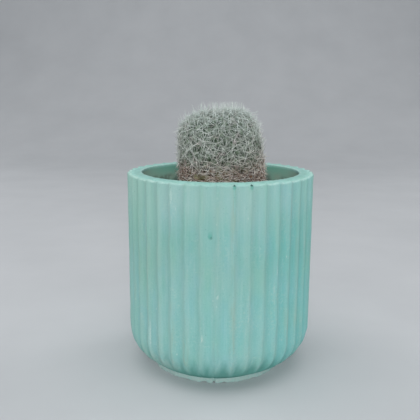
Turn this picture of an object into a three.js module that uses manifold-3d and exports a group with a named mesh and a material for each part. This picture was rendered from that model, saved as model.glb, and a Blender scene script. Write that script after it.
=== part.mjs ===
// A snowball cactus in a fluted cement planter: a hollow pot with 40 concave flutes, the potting mix that
// fills it, and a short column of a cactus with spiral tubercles and white spines, standing in the mix.
// Millimetres, +Z up, origin at the middle of the pot's foot, on the surface that it stands on.

import * as THREE from 'three';
import { ConvexHull } from 'three/addons/math/ConvexHull.js';
import { mergeVertices } from 'three/addons/utils/BufferGeometryUtils.js';
import Module from 'manifold-3d';

const wasm = await Module();
wasm.setup();

// Driving dimensions of the pot
const POT_RADIUS = 50;
const POT_HEIGHT = 107;
const FLUTE_COUNT = 40;
const FLUTE_DEPTH = 1.1;
const FIRST_RIDGE = THREE.MathUtils.degToRad(-1.3);
const COLUMNS_PER_FLUTE = 4;
const RIM_BEVEL = 0.6;
const WALL = 8.3;
const BELLY_RADIUS = 19.3;
const BELLY_SWEEP = THREE.MathUtils.degToRad(61);
const BELLY_ROWS = 6;
const FLUTE_FADE_ROWS = 3.5;
const FOOT_RADIUS = 33.3;
const FOOT_HEIGHT = 2.5;
const FOOT_INNER_RADIUS = 27;
const FOOT_RECESS = 1.8;
const DRAIN_RADIUS = 5.5;
const DRAIN_SEGMENTS = 24;
const LATHE_SEGMENTS = 44;
const INSIDE_STEPS = 5;

// Driving dimensions of the potting mix
const GAP = 0.3;
const SOIL_TOP = 92;
const SOIL_RELIEF = 0.7;
const BROAD_WAVE = { alongX: 0.42, alongY: 0.37, phase: 1.1 };
const CROSS_WAVE = { alongX: 0.9, alongY: -0.8, share: 0.6 };
const SOIL_RINGS = 4;
const SOCKET_STEPS = 12;

// Driving dimensions of the cactus
const STEM_RADIUS = 19.6;
const STEM_TOP = 136.9;
const SHOULDER_START = 124;
const SHOULDER_POWER = 2.6;
const WAIST = 101;
const BASE_BOTTOM = 80;
const BASE_POWER = 2.2;
const APEX_SHIFT = 5.5;
const LEAN = 0.8;
const LEAN_BASE = 106;
const LEAN_CROWN = 130;
const AREOLE_SPACING = 4.5;
const YOUNG_SPACING = 3.2;
const YOUNG_REACH = 9;
const TUBERCLE_HEIGHT = 2.2;
const TUBERCLE_RISE = 3;
const OUTLINE_STEPS = 400;
const SOIL_LINE = 93.5;
const SPINES_START = 94.5;

// Driving dimensions of the spines
const SPINE_RADIUS = 0.34;
const SPINE_SINK = 1.1;
const ROOT_PLACE = 0.4;
const RADIALS_BY_TURNS = [1, 2];
const RADIAL_SPINE = { shortest: 5.0, longest: 6.6, lean: 64, upward: 0 };
const CENTRAL_SPINE = { shortest: 4.2, longest: 6.4, lean: 24, upward: 0.5 };
const LEAN_SPREAD = 10;
const SEED = 20413;

const GOLDEN_ANGLE = Math.PI * (3 - Math.sqrt(5));
const UP = new THREE.Vector3(0, 0, 1);
const CONE_AXIS = new THREE.Vector3(0, 1, 0);

// Solids

function toSolid(geometry) {
  geometry.deleteAttribute('normal');
  geometry.deleteAttribute('uv');
  const merged = mergeVertices(geometry, 1e-4);
  return new wasm.Manifold(new wasm.Mesh({
    numProp: 3,
    vertProperties: new Float32Array(merged.attributes.position.array),
    triVerts: new Uint32Array(merged.index.array),
  }));
}

function toGeometry(solid) {
  const mesh = solid.getMesh();
  const geometry = new THREE.BufferGeometry();
  geometry.setAttribute('position', new THREE.BufferAttribute(new Float32Array(mesh.vertProperties), 3));
  geometry.setIndex(new THREE.BufferAttribute(new Uint32Array(mesh.triVerts), 1));
  geometry.computeVertexNormals();
  return geometry;
}

function indexedGeometry(vertices, triangles) {
  const geometry = new THREE.BufferGeometry();
  const coordinates = vertices.flatMap((vertex) => vertex.toArray());
  geometry.setAttribute('position', new THREE.Float32BufferAttribute(coordinates, 3));
  geometry.setIndex(triangles.flat());
  return geometry;
}

// A lathe turns about Y, so its solid is stood up to turn about Z
function turned(profile) {
  return new THREE.LatheGeometry(profile, LATHE_SEGMENTS).rotateX(Math.PI / 2);
}

function arcPoints(centreRadius, centreZ, radius, from, to, steps) {
  const points = [];
  for (let i = 0; i <= steps; i++) {
    const angle = THREE.MathUtils.lerp(from, to, i / steps);
    const r = centreRadius + radius * Math.cos(angle);
    const z = centreZ + radius * Math.sin(angle);
    points.push(new THREE.Vector2(r, z));
  }
  return points;
}

// Pot

const bellyCentreRadius = POT_RADIUS - BELLY_RADIUS;
const bellyCentreZ = FOOT_HEIGHT + BELLY_RADIUS * Math.sin(BELLY_SWEEP)
  + (bellyCentreRadius + BELLY_RADIUS * Math.cos(BELLY_SWEEP) - FOOT_RADIUS) / Math.tan(BELLY_SWEEP);

// The outline through the ridges, from the foot up to the rim, with the flutes' share of their full depth
function potOutline() {
  const belly = arcPoints(bellyCentreRadius, bellyCentreZ, BELLY_RADIUS, -BELLY_SWEEP, 0, BELLY_ROWS);
  const rows = [
    { r: FOOT_RADIUS, z: 0, flute: 0 },
    { r: FOOT_RADIUS, z: FOOT_HEIGHT, flute: 0 },
  ];
  belly.forEach((point, i) => {
    rows.push({ r: point.x, z: point.y, flute: THREE.MathUtils.smoothstep(i, 0, FLUTE_FADE_ROWS) });
  });
  rows.push({ r: POT_RADIUS, z: POT_HEIGHT - RIM_BEVEL, flute: 1 });
  rows.push({ r: POT_RADIUS - RIM_BEVEL, z: POT_HEIGHT, flute: 1 });
  return rows;
}

// Each flute is a shallow hollow between two sharp ridges
function fluteHollow(column) {
  const across = (column % COLUMNS_PER_FLUTE) / COLUMNS_PER_FLUTE;
  return 1 - (2 * across - 1) ** 2;
}

function flutedBody() {
  const rows = potOutline();
  const columns = FLUTE_COUNT * COLUMNS_PER_FLUTE;
  const vertices = [];
  for (const row of rows) {
    for (let c = 0; c < columns; c++) {
      const angle = FIRST_RIDGE - Math.PI / 2 + (2 * Math.PI * c) / columns;
      const r = row.r - FLUTE_DEPTH * row.flute * fluteHollow(c);
      vertices.push(new THREE.Vector3(r * Math.cos(angle), r * Math.sin(angle), row.z));
    }
  }
  const bottom = vertices.push(new THREE.Vector3(0, 0, 0)) - 1;
  const top = vertices.push(new THREE.Vector3(0, 0, POT_HEIGHT)) - 1;
  const lastRow = (rows.length - 1) * columns;
  const triangles = [];
  for (let c = 0; c < columns; c++) {
    const next = (c + 1) % columns;
    for (let row = 0; row < lastRow; row += columns) {
      triangles.push([row + c, row + next, row + columns + next]);
      triangles.push([row + c, row + columns + next, row + columns + c]);
    }
    triangles.push([bottom, next, c]);
    triangles.push([top, lastRow + c, lastRow + next]);
  }
  return toSolid(indexedGeometry(vertices, triangles));
}

// The inside of the pot, or the mix that fills it with a gap all round: outline from the floor up to a height
function insideOutline(gap, top) {
  const radius = BELLY_RADIUS - WALL - gap;
  return [
    new THREE.Vector2(0, bellyCentreZ - radius),
    ...arcPoints(bellyCentreRadius, bellyCentreZ, radius, -Math.PI / 2, 0, INSIDE_STEPS),
    new THREE.Vector2(bellyCentreRadius + radius, top),
  ];
}

function makePot() {
  const outline = insideOutline(0, POT_HEIGHT - RIM_BEVEL);
  const mouth = POT_RADIUS - WALL;
  outline.push(new THREE.Vector2(mouth + 2 * RIM_BEVEL, POT_HEIGHT + RIM_BEVEL));
  outline.push(new THREE.Vector2(0, POT_HEIGHT + RIM_BEVEL));
  const cavity = toSolid(turned(outline));
  const recess = toSolid(turned([
    new THREE.Vector2(0, -FOOT_RECESS),
    new THREE.Vector2(FOOT_INNER_RADIUS, -FOOT_RECESS),
    new THREE.Vector2(FOOT_INNER_RADIUS, 0),
    new THREE.Vector2(FOOT_INNER_RADIUS - FOOT_RECESS / 2, FOOT_RECESS),
    new THREE.Vector2(0, FOOT_RECESS),
  ]));
  const drainLength = 2 * BELLY_RADIUS;
  const drainBar = new THREE.CylinderGeometry(DRAIN_RADIUS, DRAIN_RADIUS, drainLength, DRAIN_SEGMENTS);
  const drain = toSolid(drainBar.rotateX(Math.PI / 2));
  return flutedBody().subtract(cavity).subtract(recess).subtract(drain);
}

// Cactus

// The stem's outline between the tubercles, from the apex down to the root end
function stemOutline(steps) {
  const crown = STEM_TOP - SHOULDER_START;
  const base = WAIST - BASE_BOTTOM;
  const [shoulder, foot] = [2 / SHOULDER_POWER, 2 / BASE_POWER];
  const above = [];
  const column = [];
  const below = [];
  for (let i = 0; i <= steps; i++) {
    const share = i / steps;
    const sin = Math.sin((Math.PI / 2) * share);
    const cos = Math.max(Math.cos((Math.PI / 2) * share), 0);
    above.push(new THREE.Vector2(STEM_RADIUS * sin ** shoulder, SHOULDER_START + crown * cos ** shoulder));
    column.push(new THREE.Vector2(STEM_RADIUS, THREE.MathUtils.lerp(SHOULDER_START, WAIST, share)));
    below.push(new THREE.Vector2(STEM_RADIUS * cos ** foot, WAIST - base * sin ** foot));
  }
  return [...above, ...column.slice(1, -1), ...below];
}

// The plant leans a little to -X: from its base to its crown its +X side comes in by four times LEAN, while
// its -X side stays upright. Under the soil line it stands straight.
function leaned(point) {
  const risen = THREE.MathUtils.smoothstep(point.z, LEAN_BASE, LEAN_CROWN);
  const aside = LEAN * (1 - 2 * risen) * THREE.MathUtils.smoothstep(point.z, SOIL_LINE, WAIST);
  const widened = 1 + aside / STEM_RADIUS;
  return new THREE.Vector3(point.x * widened + aside, point.y * widened, point.z);
}

// Walks down the outline, and sets an areole in the spiral each time one more cell's area has passed. The
// latitude is where it lies on a ball that the stem maps to with its small shapes kept, for the neighbours.
function areoleSpiral() {
  const outline = stemOutline(OUTLINE_STEPS);
  const areoles = [];
  let cells = 0.5;
  let length = 0;
  let depth = Math.log(outline[1].x / STEM_RADIUS) - 1;
  for (let i = 1; i < outline.length; i++) {
    const [above, here] = [outline[i - 1], outline[i]];
    const step = above.distanceTo(here);
    const r = (above.x + here.x) / 2;
    length += step;
    if (i > 1) depth += step / r;
    const grown = THREE.MathUtils.smoothstep(length, 0, YOUNG_REACH);
    const spacing = THREE.MathUtils.lerp(YOUNG_SPACING, AREOLE_SPACING, grown);
    cells += (2 * Math.PI * r * step) / (spacing * spacing * Math.sin(Math.PI / 3));
    if (cells < areoles.length + 1) continue;
    const angle = areoles.length * GOLDEN_ANGLE;
    const outward = new THREE.Vector2(above.y - here.y, here.x - above.x).normalize();
    const radial = new THREE.Vector3(Math.cos(angle), Math.sin(angle), 0);
    const normal = radial.clone().multiplyScalar(outward.x).addScaledVector(UP, outward.y);
    const shift = APEX_SHIFT * THREE.MathUtils.smoothstep(STEM_RADIUS - here.x, 0, STEM_RADIUS);
    const foot = radial.clone().multiplyScalar(here.x).addScaledVector(UP, here.y);
    if (here.y > WAIST) foot.x += shift;
    const latitude = 2 * Math.atan(Math.exp(depth));
    const onBall = radial.clone().multiplyScalar(Math.sin(latitude)).addScaledVector(UP, Math.cos(latitude));
    areoles.push({ foot: leaned(foot), normal, onBall, facets: [] });
  }
  return areoles;
}

// Every areole becomes the tip of a six-sided tubercle, whose foot runs through the middles of the triangles
// that it makes with its neighbours
function tubercledStem(areoles) {
  const owners = new Map(areoles.map((areole) => [areole.onBall, areole]));
  const hull = new ConvexHull().setFromPoints(areoles.map((areole) => areole.onBall));
  const vertices = [];
  for (const areole of areoles) {
    const raised = THREE.MathUtils.smoothstep(areole.foot.z, SOIL_LINE, SOIL_LINE + TUBERCLE_RISE);
    const height = TUBERCLE_HEIGHT * raised;
    areole.tip = areole.foot.clone().addScaledVector(areole.normal, height);
    areole.index = vertices.push(areole.tip) - 1;
  }
  const valleys = new Map();
  for (const face of hull.faces) {
    const corners = [face.edge, face.edge.next, face.edge.next.next].map((edge) => edge.head().point);
    const middle = new THREE.Vector3();
    for (const corner of corners) middle.addScaledVector(owners.get(corner).foot, 1 / corners.length);
    valleys.set(face, vertices.push(middle) - 1);
  }
  const triangles = [];
  for (const face of hull.faces) {
    for (const edge of [face.edge, face.edge.next, face.edge.next.next]) {
      const areole = owners.get(edge.tail().point);
      const [before, after] = [valleys.get(edge.twin.face), valleys.get(face)];
      triangles.push([areole.index, before, after]);
      areole.facets.push(vertices[before].clone().lerp(vertices[after], 0.5));
    }
  }
  return toSolid(indexedGeometry(vertices, triangles));
}

// A spine stands on one side of its tubercle, leans out that way, and has its root sunk in
function makeSpine(areole, facet, kind, random) {
  const side = facet.clone().sub(areole.tip);
  side.addScaledVector(areole.normal, -side.dot(areole.normal)).normalize();
  const lean = THREE.MathUtils.degToRad(kind.lean + LEAN_SPREAD * (2 * random() - 1));
  const direction = areole.normal.clone().multiplyScalar(Math.cos(lean))
    .addScaledVector(side, Math.sin(lean)).addScaledVector(UP, kind.upward).normalize();
  const length = THREE.MathUtils.lerp(kind.shortest, kind.longest, random());
  const root = areole.tip.clone().lerp(facet, ROOT_PLACE);
  return { root, direction, length, tip: root.clone().addScaledVector(direction, length) };
}

function spineSolid(spine) {
  const full = spine.length + SPINE_SINK;
  const geometry = new THREE.ConeGeometry(SPINE_RADIUS, full, 3, 1);
  geometry.translate(0, full / 2 - SPINE_SINK, 0);
  const turn = new THREE.Quaternion().setFromUnitVectors(CONE_AXIS, spine.direction);
  geometry.applyQuaternion(turn);
  geometry.translate(...spine.root.toArray());
  return toSolid(geometry);
}

// Mulberry32: the same draws each time
function seededRandom(seed) {
  let state = seed;
  return () => {
    state = (state + 0x6d2b79f5) | 0;
    let t = Math.imul(state ^ (state >>> 15), 1 | state);
    t = (t + Math.imul(t ^ (t >>> 7), 61 | t)) ^ t;
    return ((t ^ (t >>> 14)) >>> 0) / 4294967296;
  };
}

function makeCactus() {
  const random = seededRandom(SEED);
  const areoles = areoleSpiral();
  const stem = tubercledStem(areoles);
  const spines = [];
  areoles.filter(({ foot }) => foot.z > SPINES_START).forEach((areole, i) => {
    const sides = [...areole.facets].sort((a, b) => b.z - a.z);
    spines.push(makeSpine(areole, sides.shift(), CENTRAL_SPINE, random));
    for (let n = RADIALS_BY_TURNS[i % RADIALS_BY_TURNS.length]; n > 0; n--) {
      const [side] = sides.splice(Math.floor(sides.length * random()), 1);
      spines.push(makeSpine(areole, side, RADIAL_SPINE, random));
    }
  });
  const clear = spines.filter((spine) => spine.tip.z > SPINES_START);
  return wasm.Manifold.union([stem, ...clear.map(spineSolid)]);
}

// Potting mix

function surfaceRelief(x, y) {
  const broad = Math.sin(BROAD_WAVE.alongX * x + BROAD_WAVE.phase) * Math.cos(BROAD_WAVE.alongY * y);
  const cross = CROSS_WAVE.share * Math.sin(CROSS_WAVE.alongX * x + CROSS_WAVE.alongY * y);
  return SOIL_RELIEF * (broad + cross);
}

function makeSoil() {
  const outline = insideOutline(GAP, SOIL_TOP);
  const socket = stemOutline(SOCKET_STEPS).filter((point) => point.y < SOIL_LINE);
  const [edge, lip] = [outline.at(-1).x, socket[0].x + GAP];
  for (let ring = 1; ring <= SOIL_RINGS; ring++) {
    outline.push(new THREE.Vector2(THREE.MathUtils.lerp(edge, lip, ring / SOIL_RINGS), SOIL_TOP));
  }
  for (const point of socket.slice(1)) {
    outline.push(new THREE.Vector2(point.x * (1 + GAP / STEM_RADIUS), point.y - GAP));
  }
  const geometry = turned(outline);
  const position = geometry.attributes.position;
  for (let i = 0; i < position.count; i++) {
    if (position.getZ(i) < SOIL_TOP - 0.01) continue;
    position.setZ(i, SOIL_TOP + surfaceRelief(position.getX(i), position.getY(i)));
  }
  return toSolid(geometry);
}

// The object

const cement = new THREE.MeshStandardMaterial({ name: 'cement', color: 0x86bcae, roughness: 0.9 });
const mix = new THREE.MeshStandardMaterial({ name: 'mix', color: 0x3d3027, roughness: 1 });
const plant = new THREE.MeshStandardMaterial({ name: 'plant', color: 0x8f9c86, roughness: 0.7 });

function part(name, solid, material) {
  const mesh = new THREE.Mesh(toGeometry(solid), material);
  mesh.name = name;
  return mesh;
}

const pottedCactus = new THREE.Group();
pottedCactus.add(part('pot', makePot(), cement));
pottedCactus.add(part('soil', makeSoil(), mix));
pottedCactus.add(part('cactus', makeCactus(), plant));

export default pottedCactus;
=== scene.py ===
"""A snowball cactus in a fluted, mint green cement planter.

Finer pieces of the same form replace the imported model's pot, potting mix and cactus. The spines are several
thousand separate needles. Metres, +Z up, origin under the pot's foot.
"""
import math
from typing import NamedTuple

import bmesh
import bpy
import numpy as np
from mathutils import Matrix, Vector


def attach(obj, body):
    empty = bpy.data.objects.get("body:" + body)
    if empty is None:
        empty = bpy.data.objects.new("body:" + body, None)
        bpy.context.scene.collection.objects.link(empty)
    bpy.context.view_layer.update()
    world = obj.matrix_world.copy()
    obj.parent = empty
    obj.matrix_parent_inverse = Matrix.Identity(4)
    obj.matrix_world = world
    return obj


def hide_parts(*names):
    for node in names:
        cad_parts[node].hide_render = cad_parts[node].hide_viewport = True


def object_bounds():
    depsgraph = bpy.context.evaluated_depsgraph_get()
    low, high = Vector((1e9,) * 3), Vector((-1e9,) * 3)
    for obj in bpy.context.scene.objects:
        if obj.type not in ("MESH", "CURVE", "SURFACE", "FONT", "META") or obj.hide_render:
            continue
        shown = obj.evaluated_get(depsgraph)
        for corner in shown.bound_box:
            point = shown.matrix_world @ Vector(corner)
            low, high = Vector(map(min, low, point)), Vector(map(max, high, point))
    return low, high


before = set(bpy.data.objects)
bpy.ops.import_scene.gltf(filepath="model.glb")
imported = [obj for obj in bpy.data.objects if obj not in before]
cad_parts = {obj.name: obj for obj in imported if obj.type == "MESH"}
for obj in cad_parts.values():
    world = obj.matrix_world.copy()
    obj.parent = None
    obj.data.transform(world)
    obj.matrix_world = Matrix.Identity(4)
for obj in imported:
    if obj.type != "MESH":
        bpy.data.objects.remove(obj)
cad_low, cad_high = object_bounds()

MM = 0.001

# Pot's form, in millimetres and radians
POT_RADIUS = 50.0
POT_HEIGHT = 107.0
WALL = 8.3
FLUTE_COUNT = 40
FLUTE_DEPTH = 1.18
FLUTE_WOBBLE = math.radians(0.36)
FIRST_RIDGE = math.radians(-1.3)
RIDGE_ROUNDING = 0.1
RIM_BEVEL = 0.6
RIM_ROUNDING = 1.1
RIM_SCALLOP = 0.85
RIM_FADE = 2.8
MOUTH_FLARE = 0.45
BELLY_RADIUS = 19.3
BELLY_SWEEP = math.radians(61)
BELLY_LEAN = 0.6
FOOT_RADIUS = 33.3
FOOT_HEIGHT = 2.5
FOOT_INNER_RADIUS = 27.0
FOOT_RECESS = 1.8
DRAIN_RADIUS = 5.5

# Pot's mesh
COLUMNS_PER_FLUTE = 16
BELLY_STEPS = 26
WALL_ROWS = 30

# Pot's wear and casting flaws, in millimetres
WORN_RIDGE = 0.12
WALL_ROUGHNESS = 0.05
PIT_DEPTH = 0.7
SOFT_PIT_SHARE = 0.45
NICK_DEPTH = 0.15
LIP_RISE = 0.45
LIP_RISE_LEFT = 1.45
LIP_BLEND = 0.9
NOTCH_DEPTH = 0.9
NOTCH_HEIGHT = 0.8

# Marks on the outside: (degrees to the right of the front, height, radius across, radius up)
PITS = [(7.7, 106.45, 0.6, 0.5), (17.4, 106.4, 0.75, 0.55)]
SOFT_PITS = [(-4.7, 81.2, 0.55, 0.75)]
SEEPS = [(-5.3, 81.9, 1.2, 1.5), (7.7, 105.4, 0.9, 1.2), (17.4, 105.4, 1.1, 1.4)]
NICKS = [(-9.6, 30.7, 0.5, 1.8), (-0.9, 52.3, 0.5, 1.1), (-45.3, 27.0, 0.45, 8.0), (-28.0, 100.0, 0.35, 5.5),
         (34.7, 62.0, 0.4, 1.2), (16.7, 40.0, 0.4, 1.6)]
SCATTERED_NICKS = 22
# Softer patches of colour: (degrees to the right, height, width in degrees, height up and down, strength)
TEAL_PATCHES = [(3.0, 78.0, 8.0, 11.0, 0.36), (8.0, 28.0, 14.0, 8.0, 0.36)]
HAZE = (-42, 12, 16, 6, 1.0)

# Potting mix, in millimetres
GAP = 0.3
SOIL_TOP = 92.0
SOIL_RELIEF = 0.7
SOIL_LINE = 93.5
SOIL_COLUMNS = 320
SOIL_RINGS = 46
GRIT_COUNT = 1500
GRIT_FROM = 22.0

# Cactus, in millimetres
STEM_RADIUS = 19.6
STEM_TOP = 136.9
SHOULDER_START = 124.0
SHOULDER_POWER = 2.6
WAIST = 101.0
BASE_BOTTOM = 80.0
BASE_POWER = 2.2
APEX_SHIFT = 5.5
LEAN = 0.8
LEAN_BASE = 106.0
LEAN_CROWN = 130.0
AREOLE_SPACING = 4.5
YOUNG_SPACING = 3.2
YOUNG_REACH = 9.0
TUBERCLE_HEIGHT = 2.2
GOLDEN_ANGLE = math.pi * (3 - math.sqrt(5))
STEM_ROWS = 150
STEM_COLUMNS = 330

# Where the spines change with their place on the plant, in millimetres
MATTED_TOP = 109.5
MATTED_EDGE = 1.2
FLARE_TOP = 119
FLARE_TOP_LEFT = 131
FLARE_LEFT = -11
SIDES_FROM = (11, 19)
BROWN_LEVEL = (115.5, 130.0)
BROWN_SLOPE = 0.15
SHORTEST_SPINE = 1.2
ROOT_SCATTER = 0.35
# Spots on the plant's side: (azimuth, height, half width in degrees, half height)
BARE_SPOT = (-29.0, 106.0, 15.0, 1.45)
RUSTY_SPOT = (-58.0, 108.0, 15.0, 4.0)
# The spines' pieces, by the height of their roots
SPINE_PIECES = [("cactus_spines_base", 0, 112), ("cactus_spines_side", 112, 128),
                ("cactus_spines_crown", 128, 999)]
# Where a spine has its rings of three points, as shares of its length
SPINE_RINGS = (0.0, 0.3, 0.6, 0.85)


class SpineKind(NamedTuple):
    """One kind of spine, in millimetres. A pair is the range its values are drawn from."""

    count: int  # on each areole
    lean: tuple  # degrees off the areole's normal
    length: tuple
    radius: tuple
    lift: float  # added to the upward part of the direction
    spread: tuple  # from the areole's middle to the root
    tone: float  # from 0, dark, to 1, white
    seed: int
    steep: float = 1.0  # share kept of the upward part of the direction
    vary: float = 0.3  # how much the tones differ
    # Painted shade: the next value darkens the spines on the plant's left and right sides.
    side_shade: tuple = (0.3, 0.1)  # how much darker the spines are on the left and on the right side


# The radials, under the net, are toned dark, which paints the shade of the deep layer.
RADIALS = SpineKind(15, (68, 92), (3.8, 5.6), (0.1, 0.15), 0.0, (0.3, 1.2), 0.26, 31, side_shade=(0.42, 0.2))
INNER = SpineKind(1, (45, 66), (3.2, 5.0), (0.1, 0.14), 0.05, (0.2, 0.6), 0.55, 32)
NET = SpineKind(5, (68, 89), (4.8, 7.6), (0.13, 0.195), 0.0, (0.2, 2.4), 1.0, 36, side_shade=(0.08, 0.0))
SIDE = SpineKind(1, (15, 50), (1.8, 3.8), (0.08, 0.12), 0.25, (0.1, 0.4), 0.5, 33)
FLARE = SpineKind(2, (35, 65), (3.2, 5.2), (0.08, 0.12), 0.15, (0.1, 0.6), 0.6, 38)
HAIRS = SpineKind(3, (0, 45), (3.4, 7.2), (0.07, 0.1), 1.3, (0.1, 0.8), 0.55, 35)
SPIKES = SpineKind(1, (0, 26), (5.0, 9.6), (0.1, 0.14), 1.7, (0.1, 0.4), 0.85, 34)
MATTED = SpineKind(24, (76, 92), (2.6, 4.6), (0.1, 0.17), 0.0, (0.3, 2.0), 0.72, 37, steep=0.3, vary=0.5)

# The photograph's camera, in millimetres and radians
CAMERA_PLACE = Vector((0.0, -321.5, 148.97))
CAMERA_PITCH = 0.196
CAMERA_YAW = -0.017
CAMERA_ROLL = 0.006
FOCAL_PIXELS = 596.6
PHOTO_WIDTH = 420
SENSOR_WIDTH = 36.0

# Lights in metres and watts: (name, place, size, power), all aimed at the object's middle
MIDDLE = (0, 0, 0.07)
LIGHTS = [("overhead", (-0.05, -0.2, 1.1), 1.2, 4.1), ("front", (0.02, -1.15, 0.45), 0.5, 5.9),
          ("left_back", (-1.05, 0.5, 0.5), 0.8, 3.0), ("right_back", (1.05, 0.55, 0.5), 0.8, 3.0)]
ROOM_COLOUR = (0.95, 0.97, 1.0, 1.0)
ROOM_STRENGTH = 0.37

random = np.random.default_rng(5)


def smooth(x, low, high):
    t = np.clip((np.asarray(x, dtype=float) - low) / (high - low), 0.0, 1.0)
    return t * t * (3 - 2 * t)


def band(x, rise, fall, peak=1.0):
    """Rises to the peak between two values and falls to 0 between two others."""
    return peak * smooth(x, *rise) * (1 - smooth(x, *fall))


def hump(x, centre, width):
    """1 at the centre, falling off on both sides."""
    return np.exp(-(((x - centre) / width) ** 2))


def lerp(a, b, t):
    return a + (b - a) * t


def unit(vectors):
    return vectors / np.maximum(np.linalg.norm(vectors, axis=1, keepdims=True), 1e-6)


def round_grid(section, columns):
    """Each value of a section's rows, repeated round the axis."""
    return [np.repeat(values[:, None], columns, axis=1) for values in section.T]


# Meshes


def add_object(name, data):
    thing = bpy.data.objects.new(name, data)
    bpy.context.scene.collection.objects.link(thing)
    return thing


def mesh_object(name, points, faces, material, attributes=None):
    """A smooth mesh from points in millimetres and faces that all have the same number of corners."""
    points = np.asarray(points, dtype=np.float32) * MM
    faces = np.asarray(faces, dtype=np.int32)
    mesh = bpy.data.meshes.new(name)
    mesh.vertices.add(len(points))
    mesh.vertices.foreach_set("co", points.ravel())
    mesh.loops.add(faces.size)
    mesh.loops.foreach_set("vertex_index", faces.ravel())
    mesh.polygons.add(len(faces))
    mesh.polygons.foreach_set("loop_start", np.arange(0, faces.size, faces.shape[1], dtype=np.int32))
    mesh.update(calc_edges=True)
    mesh.validate()
    mesh.shade_smooth()
    for key, values in (attributes or {}).items():
        layer = mesh.attributes.new(key, "FLOAT", "POINT")
        layer.data.foreach_set("value", np.asarray(values, dtype=np.float32).ravel())
    mesh.materials.append(material)
    return add_object(name, mesh)


def grid_faces(rows, columns, close_rows=False):
    """Quads of a grid whose columns close on themselves, and whose rows do too if asked."""
    row, column = np.meshgrid(np.arange(rows if close_rows else rows - 1), np.arange(columns), indexing="ij")
    above, beside = (row + 1) % rows, (column + 1) % columns
    corners = [(row, column), (row, beside), (above, beside), (above, column)]
    return np.stack([r * columns + c for r, c in corners], axis=-1).reshape(-1, 4)


def close_ends(piece, rows, columns):
    """Closes the first and the last ring of a grid with fans to the two spare points."""
    shell = bmesh.new()
    shell.from_mesh(piece.data)
    shell.verts.ensure_lookup_table()
    first, last = shell.verts[rows * columns], shell.verts[rows * columns + 1]
    for i in range(columns):
        j = (i + 1) % columns
        shell.faces.new((first, shell.verts[i], shell.verts[j]))
        shell.faces.new((last, shell.verts[(rows - 1) * columns + j], shell.verts[(rows - 1) * columns + i]))
    bmesh.ops.recalc_face_normals(shell, faces=shell.faces)
    shell.to_mesh(piece.data)
    shell.free()
    piece.data.shade_smooth()


def wave_noise(x, y, z, scale, seed, octaves=3):
    """Smooth noise in about -1 to 1, as a sum of seeded plane waves."""
    draw = np.random.default_rng(seed)
    waves = 5
    total = np.zeros(np.broadcast(x, y, z).shape)
    weight = 0.0
    for octave in range(octaves):
        frequency = math.tau / scale * 2**octave
        for _ in range(waves):
            direction = draw.normal(size=3)
            direction /= np.linalg.norm(direction)
            along = frequency * (x * direction[0] + y * direction[1] + z * direction[2])
            total += np.sin(along * draw.uniform(0.7, 1.3) + draw.uniform(0, math.tau)) / 2**octave
        weight += waves / 2**octave
    return total / weight * 2.2


# Materials


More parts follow.
